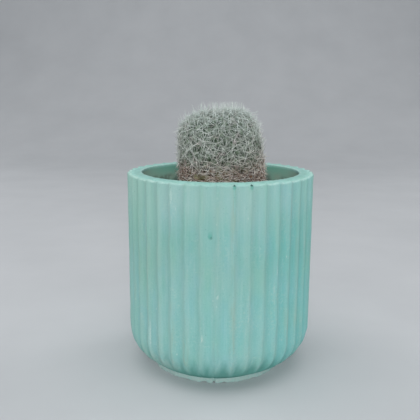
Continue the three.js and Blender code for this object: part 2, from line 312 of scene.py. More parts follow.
class Shader:
    """A material's nodes, made by short calls. Sizes and distances are in millimetres."""

    def __init__(self, name):
        self.material = bpy.data.materials.new(name)
        self.material.use_nodes = True
        self.tree = self.material.node_tree
        self.tree.nodes.clear()
        output = self.tree.nodes.new("ShaderNodeOutputMaterial")
        self.bsdf = self.tree.nodes.new("ShaderNodeBsdfPrincipled")
        self.tree.links.new(self.bsdf.outputs["BSDF"], output.inputs["Surface"])
        self.place = self.tree.nodes.new("ShaderNodeTexCoord").outputs["Object"]

    def put(self, value, socket):
        """Links a node's output to a socket, or sets the socket to a number or a colour."""
        if isinstance(value, bpy.types.NodeSocket):
            self.tree.links.new(value, socket)
        elif isinstance(value, tuple) and len(value) == 3 and socket.type == "RGBA":
            socket.default_value = (*value, 1.0)
        else:
            socket.default_value = value

    def node(self, kind, output, inputs, **settings):
        """One output of a new node with these inputs and settings."""
        node = self.tree.nodes.new("ShaderNode" + kind)
        for name, value in settings.items():
            setattr(node, name, value)
        for name, value in inputs.items():
            self.put(value, node.inputs[name])
        return node.outputs[output]

    def spaced(self, size, up):
        """The place on the object, in steps of a size, which are longer upwards where up is below 1."""
        steps = tuple(share / (size * MM) for share in (1, 1, up))
        return self.node("Mapping", "Vector", {"Vector": self.place, "Scale": steps})

    def noise(self, size, detail=4.0, rough=0.55, up=1):
        """Noise whose blobs are about size across."""
        inputs = {"Vector": self.spaced(size, up), "Scale": 1.0, "Detail": detail, "Roughness": rough}
        return self.node("TexNoise", "Fac", inputs)

    def cells(self, size, up=1):
        """Distance to the nearest of scattered points about size apart, from 0 to about 1."""
        return self.node("TexVoronoi", "Distance", {"Vector": self.spaced(size, up), "Scale": 1.0})

    def stored(self, name):
        """A value that is stored on the mesh's points."""
        return self.node("Attribute", "Fac", {}, attribute_name=name)

    def coordinate(self, axis):
        """Where a point lies along an axis."""
        return self.times(self.node("SeparateXYZ", axis, {"Vector": self.place}), 1 / MM)

    def times(self, a, b):
        return self.node("Math", "Value", {0: a, 1: b}, operation="MULTIPLY")

    def plus(self, a, b):
        return self.node("Math", "Value", {0: a, 1: b}, operation="ADD")

    def remap(self, value, low, high, to_low=0.0, to_high=1.0):
        """A smooth step from one value at low to another at high."""
        inputs = {"Value": value, "From Min": low, "From Max": high, "To Min": to_low, "To Max": to_high}
        return self.node("MapRange", "Result", inputs, interpolation_type="SMOOTHSTEP")

    def mix(self, factor, a, b):
        """Colour a where the factor is 0 and colour b where it is 1."""
        return self.node("Mix", 2, {0: factor, 6: a, 7: b}, data_type="RGBA")

    def paint(self, colour, name, share, paint):
        """Another colour over this one where a stored value says, by a share of it."""
        return self.mix(self.times(self.stored(name), share), colour, paint)

    def ramp(self, value, *stops):
        """Colours at places along a value, as (place, colour) pairs."""
        colours = self.node("ValToRGB", "Color", {"Fac": value})
        elements = colours.node.color_ramp.elements
        while len(elements) < len(stops):
            elements.new(0.5)
        for element, (place, colour) in zip(elements, stops):
            element.position = place
            element.color = (*colour, 1.0)
        return colours

    def bump(self, height, distance, strength, onto=None):
        inputs = {"Height": height, "Distance": distance * MM, "Strength": strength}
        if onto is not None:
            inputs["Normal"] = onto
        return self.node("Bump", "Normal", inputs)

    def finish(self, colour, roughness, normal, specular):
        names = ("Base Color", "Roughness", "Normal", "Specular IOR Level")
        for name, value in zip(names, (colour, roughness, normal, specular)):
            self.put(value, self.bsdf.inputs[name])
        return self.material


def cement_body(s, streaks):
    """The cast cement: cloudy, teal on the right and warmer on the left, streaked, mottled and limy."""
    deep, mint, light = (0.245, 0.52, 0.458), (0.276, 0.54, 0.494), (0.318, 0.562, 0.527)
    clouds = s.noise(26, rough=0.5, up=0.6)
    colour = s.ramp(clouds, (0.32, deep), (0.5, mint), (0.68, light))
    colour = s.mix(s.stored("teal"), colour, (0.19, 0.545, 0.514))
    colour = s.paint(colour, "warm", 0.55, (0.29, 0.535, 0.45))
    colour = s.mix(s.remap(streaks, 0.5, 0.68, 0, 0.42), colour, (0.4, 0.62, 0.58))
    colour = s.mix(s.remap(streaks, 0.32, 0.49, 0.42, 0), colour, (0.17, 0.44, 0.39))
    blotches = s.noise(6, detail=5, rough=0.6, up=0.35)
    colour = s.mix(s.remap(blotches, 0.34, 0.48, 0.28, 0), colour, (0.18, 0.47, 0.4))
    drift = s.noise(10, rough=0.55, up=0.45)
    bluer, greener = s.remap(drift, 0.52, 0.66, 0, 0.3), s.remap(drift, 0.34, 0.48, 0.3, 0)
    colour = s.mix(greener, s.mix(bluer, colour, (0.27, 0.53, 0.58)), (0.28, 0.56, 0.43))
    colour = s.mix(s.remap(s.coordinate("Z"), 40, 66, 0.24, 0), colour, (0.245, 0.615, 0.63))
    speckles = s.remap(s.cells(3.1, up=0.5), 0.05, 0.14, 0.55, 0)
    speckled = s.remap(s.noise(8, detail=3), 0.54, 0.64)
    colour = s.mix(s.times(speckles, speckled), colour, (0.6, 0.76, 0.72))
    lime = s.times(s.noise(9, detail=5, rough=0.6, up=0.4), s.noise(1.2, detail=3))
    colour = s.mix(s.remap(lime, 0.27, 0.44, 0, 0.28), colour, (0.5, 0.68, 0.62))
    grain = s.noise(0.8, rough=0.7)
    colour = s.mix(s.remap(grain, 0.3, 0.5, 0.24, 0), colour, (0.17, 0.42, 0.37))
    return s.mix(s.remap(grain, 0.52, 0.7, 0, 0.2), colour, (0.45, 0.66, 0.62))


def cement_weather(s, colour):
    """Scoured ridges, a paler top, stains that seep down, and painted shade and haze above the foot."""
    patchy = s.remap(s.noise(4, up=0.25), 0.38, 0.66, 0.12, 0.34)
    colour = s.paint(colour, "ridge", patchy, (0.4, 0.555, 0.5))
    pale = s.mix(s.stored("warm"), (0.42, 0.6, 0.58), (0.36, 0.59, 0.51))
    pale = s.mix(s.stored("teal"), pale, (0.34, 0.6, 0.58))
    colour = s.paint(colour, "pale", 0.32, pale)
    colour = s.paint(colour, "tide", 0.18, (0.16, 0.42, 0.37))
    seeping = s.remap(s.noise(1.6, up=0.1), 0.42, 0.62)
    colour = s.paint(colour, "stain", seeping, (0.35, 0.47, 0.37))
    # Painted shade: the belly is darker just above the foot.
    colour = s.paint(colour, "damp", 0.75, (0.085, 0.3, 0.25))
    hazy = s.remap(s.noise(3.5, detail=5, up=0.5), 0.38, 0.62, 0.1, 0.55)
    return s.paint(colour, "haze", hazy, (0.46, 0.6, 0.56))


def cement_rim(s, colour):
    """The mottled top of the rim, painted paler as if lit from above, and its edges, scuffed and with painted
    highlights.
    """
    mottled = s.remap(s.noise(2.4), 0.35, 0.65, 0.3, 0.6)
    mottled = s.plus(mottled, s.times(s.stored("teal"), 0.25))
    # Painted light: the rim's top face is paler, as if lit from above, and mottled.
    colour = s.paint(colour, "rim", mottled, (0.42, 0.74, 0.67))
    # Paler edges: scuffs, and painted highlights where the rounded edges catch the light.
    scuff_and_highlight = s.remap(s.noise(1.8), 0.4, 0.6, 0.15, 0.85)
    return s.paint(colour, "lip", scuff_and_highlight, (0.62, 0.8, 0.75))


def cement_lining(s):
    """The inside of the wall, dull with old water, with painted shade under the rim and painted light on its
    sides, and darker near the mix.
    """
    colour = s.ramp(s.noise(11), (0.38, (0.2, 0.4, 0.31)), (0.62, (0.26, 0.36, 0.28)))
    colour = s.mix(s.stored("shaded"), colour, (0.13, 0.38, 0.29))
    # Painted light on the lining's left and right sides.
    colour = s.mix(s.stored("corner"), colour, (0.42, 0.55, 0.45))
    darker_near_mix = s.times(s.stored("low_lining"), s.remap(s.noise(5, detail=3), 0.4, 0.6))
    return s.mix(darker_near_mix, colour, (0.11, 0.15, 0.12))


def cement_material():
    """Tinted cement: weathered outside, dull inside, with a chalky foot and pinholes."""
    s = Shader("tinted_cement")
    streaks = s.noise(1.5, detail=6, rough=0.68, up=0.05)
    colour = cement_rim(s, cement_weather(s, cement_body(s, streaks)))
    colour = s.paint(colour, "inside", 0.85, cement_lining(s))
    chalky = s.remap(s.noise(1.4, detail=5), 0.3, 0.6, 0.55, 0.95)
    colour = s.paint(colour, "foot", chalky, (0.44, 0.58, 0.55))
    nicks = s.times(s.stored("chalk"), s.remap(s.noise(0.8, detail=3), 0.3, 0.6, 0.2, 0.6))
    colour = s.mix(nicks, colour, (0.62, 0.75, 0.7))
    holes = s.cells(2.6)
    # Painted shade: the tiny pinholes of the bump are darkened.
    colour = s.mix(s.remap(holes, 0.05, 0.1, 0.45, 0), colour, (0.12, 0.3, 0.26))
    colour = s.mix(s.stored("seep"), colour, (0.1, 0.4, 0.33))
    # Painted shade: the pits are near black inside.
    colour = s.mix(s.stored("pit"), colour, (0.012, 0.06, 0.05))
    roughness = s.remap(s.noise(3, detail=3), 0.3, 0.7, 0.8, 0.95)
    normal = s.bump(s.noise(0.7, detail=5, rough=0.65), 0.1, 0.5)
    normal = s.bump(streaks, 0.18, 0.3, onto=normal)
    normal = s.bump(s.remap(holes, 0.04, 0.12), 0.12, 0.6, onto=normal)
    return s.finish(colour, roughness, normal, specular=0.25)


def mix_material():
    """Dark, peaty potting mix, dry and crumbly."""
    s = Shader("peaty_mix")
    wet, peat, dry = (0.012, 0.008, 0.006), (0.045, 0.03, 0.02), (0.11, 0.075, 0.048)
    colour = s.ramp(s.noise(1.6, detail=6, rough=0.7), (0.3, wet), (0.52, peat), (0.74, dry))
    colour = s.mix(s.remap(s.noise(7, detail=2), 0.45, 0.7, 0, 0.5), colour, (0.09, 0.07, 0.045))
    normal = s.bump(s.noise(0.5, detail=6, rough=0.7), 0.35, 0.9)
    normal = s.bump(s.cells(1.3), 0.4, 0.6, onto=normal)
    return s.finish(colour, 0.95, normal, specular=0.15)


def grit_material():
    """Grains in the mix: mostly brown bark and grit, with white perlite by each grain's own tone."""
    s = Shader("grit")
    bark = (0.0, (0.035, 0.022, 0.014)), (0.35, (0.1, 0.065, 0.04))
    stone = (0.62, (0.2, 0.16, 0.12)), (0.8, (0.3, 0.27, 0.22))
    perlite = (0.86, (0.66, 0.64, 0.58)), (1.0, (0.8, 0.79, 0.74))
    colour = s.ramp(s.stored("tone"), *bark, *stone, *perlite)
    colour = s.mix(s.remap(s.noise(0.4), 0.3, 0.65, 0.45, 0), colour, (0.02, 0.015, 0.01))
    return s.finish(colour, 0.9, s.bump(s.noise(0.3), 0.15, 0.8), specular=0.2)


def ragged_height(s, size, swing):
    """Height with a ragged edge, so that zones of colour don't end on a level line."""
    return s.plus(s.coordinate("Z"), s.times(s.noise(size, detail=3), swing))


def stem_material():
    """The plant's skin: grey green on the tubercles, near black between them as painted shade, corky brown
    near the soil.
    """
    s = Shader("cactus_skin")
    tip = s.stored("tip")
    dark, grey_green, pale = (0.02, 0.034, 0.023), (0.125, 0.185, 0.125), (0.28, 0.375, 0.27)
    # Painted shade: the skin is near black between the tubercles.
    skin = s.ramp(tip, (0.0, dark), (0.45, grey_green), (0.85, pale))
    skin = s.mix(s.remap(s.noise(3.0), 0.35, 0.7, 0, 0.3), skin, (0.07, 0.12, 0.07))
    # Painted shade: the cork is near black between the tubercles too.
    cork = s.ramp(tip, (0.0, (0.02, 0.01, 0.006)), (0.5, (0.1, 0.058, 0.034)), (0.9, (0.24, 0.15, 0.09)))
    olive = s.times(s.remap(s.noise(6.0, detail=3), 0.5, 0.62), 0.75)
    cork = s.mix(olive, cork, (0.2, 0.22, 0.08))
    colour = s.mix(s.remap(ragged_height(s, 5.0, 9.0), 110.5, 118.5), cork, skin)
    bare_skin = s.ramp(s.noise(1.5), (0.35, (0.17, 0.15, 0.09)), (0.6, (0.36, 0.35, 0.22)))
    colour = s.mix(s.stored("bare"), colour, bare_skin)
    roughness = s.remap(s.noise(2.0), 0.3, 0.7, 0.5, 0.75)
    return s.finish(colour, roughness, s.bump(s.noise(0.6), 0.12, 0.6), specular=0.3)


def spine_material():
    """Glassy white to grey spines, rosy brown on the old part near the soil and whitest at the crown; painted
    shade at the roots, painted light at the tips.
    """
    s = Shader("cactus_spines")
    tone, along = s.stored("tone"), s.stored("along")
    pale = s.ramp(tone, (0.0, (0.25, 0.295, 0.245)), (0.5, (0.78, 0.86, 0.79)), (1.0, (0.97, 0.99, 0.95)))
    rosy = s.times(s.remap(s.noise(5.0, detail=3), 0.56, 0.66), 0.55)
    pale = s.mix(rosy, pale, (0.74, 0.6, 0.6))
    rust, tan = (0.0, (0.19, 0.1, 0.074)), (0.35, (0.73, 0.53, 0.45))
    cream, white = (0.7, (0.96, 0.87, 0.79)), (1.0, (0.99, 0.96, 0.91))
    old = s.ramp(tone, rust, tan, cream, white)
    level = s.plus(ragged_height(s, 6.0, 12.0), s.times(s.coordinate("X"), -BROWN_SLOPE))
    level = s.plus(level, s.times(s.stored("rusty"), -9.0))
    level = s.plus(level, s.times(s.noise(1.3, detail=2), 9.0))
    colour = s.mix(s.remap(level, *BROWN_LEVEL), old, pale)
    colour = s.mix(s.remap(s.coordinate("Z"), 122.0, 138.0, 0, 0.45), colour, (0.68, 0.81, 0.8))
    # Painted light: the spines are paler towards their tips.
    colour = s.mix(s.remap(along, 0.5, 1.0, 0, 0.25), colour, (0.92, 0.94, 0.9))
    shaded_root = s.times(s.remap(along, 0.05, 0.45, 1.0, 0), s.remap(level, 116.0, 130.0, 0.25, 0.55))
    colour = s.mix(shaded_root, colour, (0.11, 0.135, 0.1))
    roughness = s.remap(s.noise(1.0), 0.3, 0.7, 0.35, 0.55)
    return s.finish(colour, roughness, s.bump(s.noise(0.25, detail=2), 0.02, 0.3), specular=0.45)


def wool_material():
    """Short felt in the areoles, browner on the old part near the soil."""
    s = Shader("areole_wool")
    colour = s.ramp(s.noise(0.5), (0.3, (0.22, 0.25, 0.21)), (0.7, (0.5, 0.54, 0.49)))
    old = s.mix(0.6, colour, (0.22, 0.15, 0.11))
    colour = s.mix(s.remap(ragged_height(s, 6.0, 10.0), 110.0, 121.0), old, colour)
    normal = s.bump(s.noise(0.2, detail=5, rough=0.7), 0.15, 0.9)
    return s.finish(colour, 0.95, normal, specular=0.1)


def floor_material():
    """Plain pale paper."""
    s = Shader("pale_floor")
    colour = s.ramp(s.noise(90, detail=3), (0.3, (0.6, 0.62, 0.64)), (0.7, (0.64, 0.66, 0.68)))
    return s.finish(colour, 0.9, s.bump(s.noise(0.8), 0.05, 0.3), specular=0.1)


# Pot


def arc(centre_r, centre_z, radius, start, end, steps):
    angles = np.linspace(start, end, steps + 1)
    return [(centre_r + radius * math.cos(a), centre_z + radius * math.sin(a)) for a in angles]


BELLY_CENTRE_R = POT_RADIUS - BELLY_RADIUS
BELLY_START_R = BELLY_CENTRE_R + BELLY_RADIUS * math.cos(BELLY_SWEEP)
BELLY_START_Z = BELLY_RADIUS * math.sin(BELLY_SWEEP)
BELLY_CENTRE_Z = FOOT_HEIGHT + BELLY_START_Z + (BELLY_START_R - FOOT_RADIUS) / math.tan(BELLY_SWEEP)
INNER_RADIUS = POT_RADIUS - WALL
INNER_CORNER = BELLY_RADIUS - WALL
INNER_FLOOR = BELLY_CENTRE_Z - INNER_CORNER


def foot_rows():
    """From the drain hole out under the foot and up its side."""
    under = np.linspace(DRAIN_RADIUS + 1, FOOT_INNER_RADIUS - 1, 7)
    rows = [(r, FOOT_RECESS, 0) for r in (DRAIN_RADIUS, *under)]
    rows += [(FOOT_INNER_RADIUS - 0.6, FOOT_RECESS * 0.7, 0), (FOOT_INNER_RADIUS, 0.3, 0)]
    ring = np.linspace(FOOT_INNER_RADIUS + 1.4, FOOT_RADIUS - 0.5, 5)
    rows += [(r, 0, 0) for r in (FOOT_INNER_RADIUS + 0.4, *ring)]
    rows += [(FOOT_RADIUS - 0.1, 0.15, 0), (FOOT_RADIUS, 0.5, 0)]
    rows += [(FOOT_RADIUS, z, 0) for z in np.linspace(0.9, FOOT_HEIGHT - 0.15, 5)]
    return rows


def belly_rows():
    """Up the cone above the foot and round the belly, where the flutes begin."""
    belly = arc(BELLY_CENTRE_R, BELLY_CENTRE_Z, BELLY_RADIUS, -BELLY_SWEEP, 0, BELLY_STEPS)
    first_r, first_z = belly[0]
    shares = np.linspace(0, 1, 13)[:-1] ** 1.4
    rows = [(lerp(FOOT_RADIUS, first_r, share), lerp(FOOT_HEIGHT, first_z, share), 0) for share in shares]
    for i, (r, z) in enumerate(belly):
        sweep = math.degrees(BELLY_SWEEP) * (1 - i / BELLY_STEPS)
        rows.append((r, z, 1 - float(smooth(sweep, 38, 61))))
    return rows


def wall_rows():
    """Up the fluted wall, with closer rows at the marks that need them."""
    levels = set(np.round(np.linspace(BELLY_CENTRE_Z + 1.6, POT_HEIGHT - 3, WALL_ROWS), 3))
    for _, height, _, reach in SOFT_PITS + NICKS[:2]:
        levels |= set(np.round(height + np.linspace(-1.2, 1.2, 5) * reach, 3))
    levels = sorted(levels)
    rows = [(POT_RADIUS, z, 1) for i, z in enumerate(levels) if i == 0 or z - levels[i - 1] > 0.08]
    return rows + [(POT_RADIUS, z, 1) for z in np.linspace(POT_HEIGHT - 2.6, POT_HEIGHT - RIM_ROUNDING, 5)]


def rim_rows():
    """Over the rounded edge, across the flat rim where the flutes fade, and over the bevel inside."""
    rows = []
    for angle in np.linspace(0, math.pi / 2, 6)[1:]:
        r = POT_RADIUS - RIM_ROUNDING * (1 - math.cos(angle))
        rows.append((r, POT_HEIGHT - RIM_ROUNDING * (1 - math.sin(angle)), 1))
    mouth = INNER_RADIUS + MOUTH_FLARE
    for r in np.linspace(POT_RADIUS - RIM_ROUNDING, mouth + RIM_BEVEL, 10)[1:-1]:
        rows.append((r, POT_HEIGHT, 1 - float(smooth(POT_RADIUS - RIM_ROUNDING - r, 0, RIM_FADE))))
    for angle in np.linspace(0, math.pi / 2, 5):
        r = mouth + RIM_BEVEL * (1 - math.sin(angle))
        rows.append((r, POT_HEIGHT - RIM_BEVEL * (1 - math.cos(angle)), 0))
    return rows


def lining_rows():
    """Down the flared mouth, the wall and its corner, in over the floor and down the drain hole."""
    rows = []
    for z in np.linspace(POT_HEIGHT - 2, SOIL_TOP - 2, 10):
        rows.append((INNER_RADIUS + MOUTH_FLARE * float(smooth(z, SOIL_TOP, POT_HEIGHT)), z, 0))
    rows += [(INNER_RADIUS, z, 0) for z in np.linspace(SOIL_TOP - 14, BELLY_CENTRE_Z + 12, 4)]
    rows += [(r, z, 0) for r, z in arc(BELLY_CENTRE_R, BELLY_CENTRE_Z, INNER_CORNER, 0, -math.pi / 2, 5)]
    rows += [(20, INNER_FLOOR, 0), (10, INNER_FLOOR, 0)]
    rows += [(DRAIN_RADIUS, z, 0) for z in np.linspace(INNER_FLOOR, FOOT_RECESS + 2, 4)]
    return rows


def scattered_nicks():
    """The photographed nicks, and more of the kind on the ridges of the sides and the back."""
    nicks = list(NICKS)
    for _ in range(SCATTERED_NICKS):
        ridge = math.degrees(FIRST_RIDGE) + 360 / FLUTE_COUNT * random.integers(10, 31)
        nicks.append((ridge, random.uniform(20, 100), 0.5, random.uniform(1, 7)))
    return nicks


def flute_shape(angle):
    """0 on a ridge to 1 in the middle of a flute."""
    across = ((angle + math.pi / 2 - FIRST_RIDGE) * FLUTE_COUNT / math.tau) % 1.0
    hollow = 1 - (2 * across - 1) ** 2
    return np.sqrt(hollow**2 + RIDGE_ROUNDING**2) - RIDGE_ROUNDING


class PotShell:
    """The pot as a grid of points: rows along its section, columns round its axis."""

    def __init__(self):
        # Each row is (r, z, share of flute), from the drain hole out, up, over the rim and back down
        self.section = np.array(foot_rows() + belly_rows() + wall_rows() + rim_rows() + lining_rows())
        self.columns = FLUTE_COUNT * COLUMNS_PER_FLUTE
        angle = FIRST_RIDGE - math.pi / 2 + math.tau * np.arange(self.columns) / self.columns
        self.r, self.z, self.flute = round_grid(self.section, self.columns)
        self.angle = np.broadcast_to(angle, self.r.shape)
        self.x, self.y = np.cos(self.angle), np.sin(self.angle)
        self.azimuth = self.angle + math.pi / 2
        # In degrees from -180 to 180, with the front at 0 and the right side at 90
        self.turned = np.degrees(np.angle(np.exp(1j * self.azimuth)))
        # The rows' order tells the outside from the inside, where r and z alone don't
        row = np.arange(len(self.section))[:, None]
        top_row = int(np.argmax(self.section[:, 1]))
        self.outside = (row <= top_row) & (self.r > FOOT_INNER_RADIUS + 1)
        self.inside = (row > top_row) & (self.z < POT_HEIGHT - RIM_BEVEL)
        self.on_wall = self.outside & (self.z > FOOT_HEIGHT + 0.1)
        self.stored = {}

    def noise(self, scale, seed, octaves=3, up=1.0, at=POT_RADIUS):
        """Noise over the wall at a radius, drawn out along the height where up is less than 1."""
        return wave_noise(self.x * at, self.y * at, self.z * up, scale, seed, octaves)

    def marks(self, marks):
        """How deep inside a mark each point of the outside is, from 0 to 1."""
        deep = np.zeros(self.z.shape)
        for turn, height, across, up in marks:
            beside = (self.azimuth - math.radians(turn) + math.pi) % math.tau - math.pi
            away = np.hypot(beside * POT_RADIUS / across, (self.z - height) / up)
            deep = np.maximum(deep, 1 - smooth(away, 0.55, 1.15))
        return deep * self.outside

    def patch(self, turn, height, width, tall, strength):
        """A soft patch of colour."""
        return strength * np.exp(-(((self.turned - turn) / width) ** 2) - ((self.z - height) / tall) ** 2)

    def points(self):
        lean = BELLY_LEAN * (1 - smooth(self.z, 6, 24)) * self.on_wall
        return np.stack([self.r * self.x - lean, self.r * self.y, self.z], axis=-1).reshape(-1, 3)


def raise_flutes(p):
    """Flutes between ridges that waver a little and are worn here and there, deeper on the left."""
    p.depth = flute_shape(p.angle + FLUTE_WOBBLE * p.noise(22, 24, 2))
    deeper = 1 + 0.06 * p.noise(26, 11, 2, up=0.6) + band(-p.turned, (15, 45), (110, 150), 0.18)
    p.r -= FLUTE_DEPTH * p.flute * p.depth * deeper
    on_ridge = p.flute * (1 - smooth(p.depth, 0, 0.5))
    p.r -= WORN_RIDGE * (smooth(p.noise(9, 12, up=0.7), 0.1, 1.0) * on_ridge)
    below_rim = p.on_wall & (p.z < POT_HEIGHT - RIM_ROUNDING)
    p.r += np.where(below_rim, WALL_ROUGHNESS * p.noise(6, 13) - WALL_ROUGHNESS, 0)
    crest = 1 - np.sqrt(np.clip(1 - p.depth, 0, 1))
    p.stored["ridge"] = p.flute * (1 - smooth(crest, 0, 0.75)) * p.outside


def cast_flaws(p):
    """Pinholes, and nicks knocked out of the ridges."""
    pit = p.marks(PITS) + SOFT_PIT_SHARE * p.marks(SOFT_PITS)
    chalk = p.marks(scattered_nicks())
    p.r = p.r - PIT_DEPTH * pit - NICK_DEPTH * chalk
    p.stored.update(pit=pit, chalk=chalk)


def cast_foot(p):
    """The foot's ragged lip, which spreads at the sides and runs up the belly on the left."""
    left = -p.turned
    lip_top = FOOT_HEIGHT + LIP_RISE + band(left, (5, 55), (110, 150), LIP_RISE_LEFT)
    foot = p.outside & (p.z < lip_top + LIP_BLEND) & (p.r < BELLY_CENTRE_R + 8)
    low = np.clip(1 - p.z / FOOT_HEIGHT, 0, 1)
    ragged = 0.3 * p.noise(11, 14, up=0.5, at=33) + 0.16 * p.noise(2.6, 15, 2, at=33)
    spread = 1.05 - 1.25 * np.sin(p.azimuth - 0.1) + hump(p.turned, -66, 18) + hump(p.turned, 62, 18)
    skirt = spread * (0.6 + 0.4 * low) + ragged * (0.5 + 0.5 * low)
    edge = smooth(p.r, FOOT_RADIUS - 4.0, FOOT_RADIUS - 0.6)
    blend = foot * edge * (1 - smooth(p.z, lip_top - 0.3, lip_top + LIP_BLEND))
    notch = np.exp(-((p.turned + 4.0) / 1.1) ** 4)
    underside = smooth(p.r, FOOT_RADIUS - 1.5, FOOT_RADIUS - 0.1) * (1 - smooth(p.z, 0.2, 1.6))
    chips = smooth(p.noise(4.5, 16, up=0, at=33), 0.0, 0.8)
    chips = chips * (0.35 + 0.35 * smooth(left, -15, 20)) * (1 - 0.8 * smooth(left, 18, 35))
    p.r += blend * (skirt - NOTCH_DEPTH * notch)
    p.z += underside * (chips + NOTCH_HEIGHT * notch)
    p.stored["foot"] = smooth(lip_top - p.z, -0.15, 0.35) * foot * edge


def finish_rim(p):
    """The rim's uneven top, scalloped over the flutes, with edges outside and inside that are scuffed and
    carry painted highlights.
    """
    # Marks the rim's top face, which is painted paler as if lit from above.
    p.stored["rim"] = smooth(p.z, POT_HEIGHT - 0.6, POT_HEIGHT - 0.1)
    uneven = 0.06 + 0.05 * p.noise(14, 17, 2, up=0, at=p.r) + 0.09 * p.noise(3.4, 22, 2, up=0, at=p.r)
    worn = np.clip(uneven, 0.02, 1)
    edging = smooth(p.z, POT_HEIGHT - 2.2, POT_HEIGHT - 0.2)
    section_r = p.section[:, 0:1]
    outer = edging * hump(section_r - POT_RADIUS, -0.8, 0.7) * (0.4 + 0.6 * p.depth)
    inner = edging * hump(section_r - INNER_RADIUS - MOUTH_FLARE, 0.5, 0.5)
    # Painted highlights and scuffs on the outer edge, most at the flutes' tops and away from the front, and
    # on the inner edge.
    p.stored["lip"] = 0.8 * outer * smooth(np.abs(p.turned), 12, 35) + 0.6 * inner
    p.z -= edging * (worn + RIM_SCALLOP * p.flute * p.depth)


def colour_outside(p):
    """Where the wall is teal, warm, pale, stained by the seeping ridges or hazy, and where shade is painted
    above the foot.
    """
    turned, z = p.turned, p.z
    cloud = p.noise(45, 18, up=0.8)
    teal = smooth(turned + 6 * cloud, 14, 42) * (1 - 0.6 * smooth(turned, 100, 170))
    teal = teal * (0.9 - 0.35 * smooth(z, 70, 100)) + 0.3 * cloud * smooth(-turned, 90, 150)
    for patch in TEAL_PATCHES:
        teal += p.patch(*patch)
    warm = smooth(5 * cloud - turned, 22, 56) * (1 - smooth(-turned, 95, 150))
    # Paler towards the top; kept weaker beside the ridges, which paints shade on their flanks.
    pale = smooth(z + 5 * cloud, 76, 98) * (0.3 + 0.9 * smooth(p.depth, 0, 0.6))
    ridge_number = np.round((p.azimuth - FIRST_RIDGE) * FLUTE_COUNT / math.tau).astype(int)
    strength = np.random.default_rng(19).uniform(0, 1, FLUTE_COUNT) ** 1.5
    reach = smooth(p.noise(40, 20), -0.5, 0.6)
    stain = p.flute * (1 - smooth(p.depth, 0.1, 0.9)) * strength[ridge_number % FLUTE_COUNT] * reach
    trickles = p.noise(4, 23, 2, up=0.25)
    # Painted shade low on the belly, weaker at the ridges and towards the sides.
    damp = p.on_wall * (1 - smooth(z + cloud + 3.5 * (1 - p.depth) + 1.6 * trickles, 8.5, 20.0))
    damp *= (1 - 0.3 * smooth(np.abs(turned), 30, 65)) * (1 - 0.25 * smooth(trickles, 0, 1))
    p.stored.update(
        teal=np.clip(teal, 0, 1) * p.outside,
        warm=warm * p.outside,
        pale=pale * p.outside,
        tide=p.on_wall * hump(z + 6 * cloud, 73, 13),
        stain=0.45 * (stain * p.outside),
        damp=damp,
        haze=p.on_wall * p.patch(*HAZE),
        seep=0.6 * p.marks(SEEPS),
    )


def colour_inside(p):
    """Painted light at the lining's sides, painted shade under the rim, and darker near the mix."""
    p.stored.update(
        inside=p.inside,
        # Painted light on the lining's left and right sides.
        corner=0.75 * hump(np.abs(p.turned), 90, 26) * p.inside,
        shaded=smooth(p.z, POT_HEIGHT - 7, POT_HEIGHT - 2),
        low_lining=p.inside * (1 - smooth(p.z, POT_HEIGHT - 8, POT_HEIGHT - 5)),
    )


def make_pot():
    shell = PotShell()
    for make in (raise_flutes, cast_flaws, cast_foot, finish_rim, colour_outside, colour_inside):
        make(shell)
    faces = grid_faces(len(shell.section), shell.columns, close_rows=True)
    return mesh_object("pot_shell", shell.points(), faces, cement_material(), shell.stored)


# Cactus


def stem_outline(steps):
    """The stem's outline between the tubercles as (r, z), from the apex down to the root end."""
    share = np.linspace(0, 1, steps + 1)
    sin, cos = np.sin(math.pi / 2 * share), np.clip(np.cos(math.pi / 2 * share), 0, 1)
    shoulder, foot = 2 / SHOULDER_POWER, 2 / BASE_POWER
    above = STEM_RADIUS * sin**shoulder, SHOULDER_START + (STEM_TOP - SHOULDER_START) * cos**shoulder
    column = np.full(steps - 1, STEM_RADIUS), lerp(SHOULDER_START, WAIST, share)[1:-1]
    below = STEM_RADIUS * cos**foot, WAIST - (WAIST - BASE_BOTTOM) * sin**foot
    return np.concatenate([above, column, below], axis=1).T


def apex_shift(r, z):
    return APEX_SHIFT * smooth(STEM_RADIUS - r, 0, STEM_RADIUS) * (z > WAIST)


def leaned(points):
    """Leans the plant to -X as in the CAD: its +X side comes in towards the crown."""
    x, y, z = points.T
    aside = LEAN * (1 - 2 * smooth(z, LEAN_BASE, LEAN_CROWN)) * smooth(z, SOIL_LINE, WAIST)
    widened = 1 + aside / STEM_RADIUS
    return np.stack([x * widened + aside, y * widened, z], -1)


def areole_spiral():
    """The areoles' places between the tubercles, and their normals, along the CAD stem's spiral."""
    outline = stem_outline(400)
    places, normals = [], []
    cells, length = 0.5, 0.0
    for above, here in zip(outline[:-1], outline[1:]):
        step = math.dist(above, here)
        length += step
        spacing = lerp(YOUNG_SPACING, AREOLE_SPACING, float(smooth(length, 0, YOUNG_REACH)))
        cells += math.pi * (above[0] + here[0]) * step / (spacing**2 * math.sin(math.pi / 3))
        if cells < len(places) + 1:
            continue
        turn = len(places) * GOLDEN_ANGLE
        out, up = (above[1] - here[1]) / step, (here[0] - above[0]) / step
        x = here[0] * math.cos(turn) + float(apex_shift(here[0], here[1]))
        places.append((x, here[0] * math.sin(turn), here[1]))
        normals.append((out * math.cos(turn), out * math.sin(turn), up))
    return leaned(np.array(places)), np.array(normals)


def in_spot(points, spot):
    """1 in a spot on the plant's side and 0 outside it."""
    azimuth, height, half_width, half_height = spot
    turned = np.degrees(np.arctan2(points[:, 0], -points[:, 1]))
    across, up = (turned - azimuth) / half_width, (points[:, 2] - height) / half_height
    return 1 - smooth(across**2 + up**2, 0.5, 1.3)


